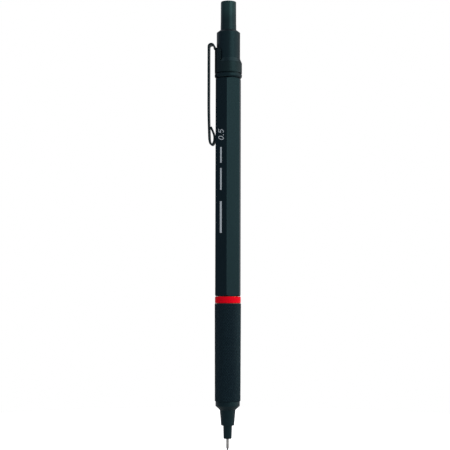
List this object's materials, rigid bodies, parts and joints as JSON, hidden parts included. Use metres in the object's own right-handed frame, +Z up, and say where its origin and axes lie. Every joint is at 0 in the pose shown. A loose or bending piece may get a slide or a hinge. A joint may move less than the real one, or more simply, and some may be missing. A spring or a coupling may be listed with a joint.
{
  "type": "mechanical pencil",
  "caption": "Slim all-metal push-button pencil: hexagonal black barrel, knurled grip, red ring, stepped conical nose with a thin lead sleeve, and a folded spring pocket clip.",
  "frame": {"origin": "open end of the lead sleeve, on the pencil's axis", "axes": "+Z up the axis to the push button, -X towards the pocket clip, a barrel corner towards -Y"},
  "size_m": [0.0112, 0.009, 0.1459],
  "materials": {
    "black_shell": "fine satin black with a cool tint",
    "button_black": "satin charcoal black, polished by thumbs",
    "knurled_grip": "matt black over fine diamond knurling",
    "accent_red": "bright red satin enamel",
    "clip_black": "semi-gloss black on sheet spring steel",
    "brass": "turned, bare",
    "bright_steel": "drawn tube, satin",
    "spring_steel": "drawn wire, bright",
    "tube_plastic": "moulded, slightly waxy",
    "graphite": "polymer-bonded graphite, soft metallic sheen",
    "eraser_white": "soft white vinyl, matt",
    "brake_rubber": "matt",
    "print_grey": "pale grey ink printed on the barrel"
  },
  "bodies": {
    "housing": {"nozzle": "black_shell", "nose_cone": "black_shell", "grip": "knurled_grip", "grip_core": "brass", "accent_ring": "accent_red", "barrel": "black_shell", "end_ring": "black_shell", "clip_band": "clip_black", "tail_collar": "black_shell", "tube_guide": "tube_plastic", "cushion_stop": "brass", "cushion_spring": "spring_steel"},
    "cartridge": {"chuck_housing": "brass", "cartridge_tube": "brass", "main_spring": "spring_steel"},
    "push_rod": {"chuck_shank": "brass", "chuck_adapter": "brass", "lead_tube": "tube_plastic", "eraser_ferrule": "brass", "spare_leads": "graphite"},
    "clutch": {"clutch_ring": "brass"},
    "jaw_a": {"chuck_jaw_a": "brass"},
    "jaw_b": {"chuck_jaw_b": "brass"},
    "jaw_c": {"chuck_jaw_c": "brass"},
    "button": {"push_button": "button_black"},
    "eraser": {"eraser": "eraser_white"},
    "lead": {"lead": "graphite"},
    "sleeve": {"lead_sleeve": "bright_steel", "sleeve_slider": "brass", "lead_brake": "brake_rubber"},
    "clip": {"clip_arm": "clip_black"}
  },
  "joints": [
    {"name": "cushion", "type": "slide", "parent": "housing", "child": "cartridge", "axis": [0, 0, 1], "range_m": [0, 0.001], "stiffness_N_per_m": 590, "springref_m": -0.004, "deforming": ["cushion_spring"]},
    {"name": "push", "type": "slide", "parent": "cartridge", "child": "push_rod", "axis": [0, 0, -1], "range_m": [0, 0.004], "stiffness_N_per_m": 380, "springref_m": -0.004, "deforming": ["main_spring"]},
    {"name": "clutch_travel", "type": "slide", "parent": "cartridge", "child": "clutch", "axis": [0, 0, -1], "range_m": [0, 0.0008]},
    {"name": "jaw_a_open", "type": "hinge", "parent": "push_rod", "child": "jaw_a", "pos_m": [0.00075, 0, 0.027], "axis": [0, -1, 0], "range_deg": [0, 1.5]},
    {"name": "jaw_b_open", "type": "hinge", "parent": "push_rod", "child": "jaw_b", "pos_m": [-0.00038, 0.00065, 0.027], "axis": [0.866, 0.5, 0], "range_deg": [0, 1.5]},
    {"name": "jaw_c_open", "type": "hinge", "parent": "push_rod", "child": "jaw_c", "pos_m": [-0.00038, -0.00065, 0.027], "axis": [-0.866, 0.5, 0], "range_deg": [0, 1.5]},
    {"name": "button_pull", "type": "slide", "parent": "push_rod", "child": "button", "axis": [0, 0, 1], "range_m": [0, 0.012]},
    {"name": "eraser_pull", "type": "slide", "parent": "push_rod", "child": "eraser", "axis": [0, 0, 1], "range_m": [0, 0.0054]},
    {"name": "lead_feed", "type": "slide", "parent": "cartridge", "child": "lead", "axis": [0, 0, -1], "range_m": [-0.0007, 0.039]},
    {"name": "sleeve_slide", "type": "slide", "parent": "housing", "child": "sleeve", "axis": [0, 0, 1], "range_m": [0, 0.0029]},
    {"name": "clip_flex", "type": "hinge", "parent": "housing", "child": "clip", "pos_m": [-0.0055, 0, 0.13121], "axis": [0, 1, 0], "range_deg": [0, 4], "stiffness_Nm_per_rad": 1.2}
  ],
  "couplings": [
    {"joint": "clutch_travel", "follows": "push", "ratio": 0.2},
    {"joint": "jaw_a_open", "follows": "push", "rad_per_m": 6.544},
    {"joint": "jaw_b_open", "follows": "push", "rad_per_m": 6.544},
    {"joint": "jaw_c_open", "follows": "push", "rad_per_m": 6.544},
    {"joint": "eraser_pull", "follows": "button_pull", "ratio": 0.45}
  ]
}
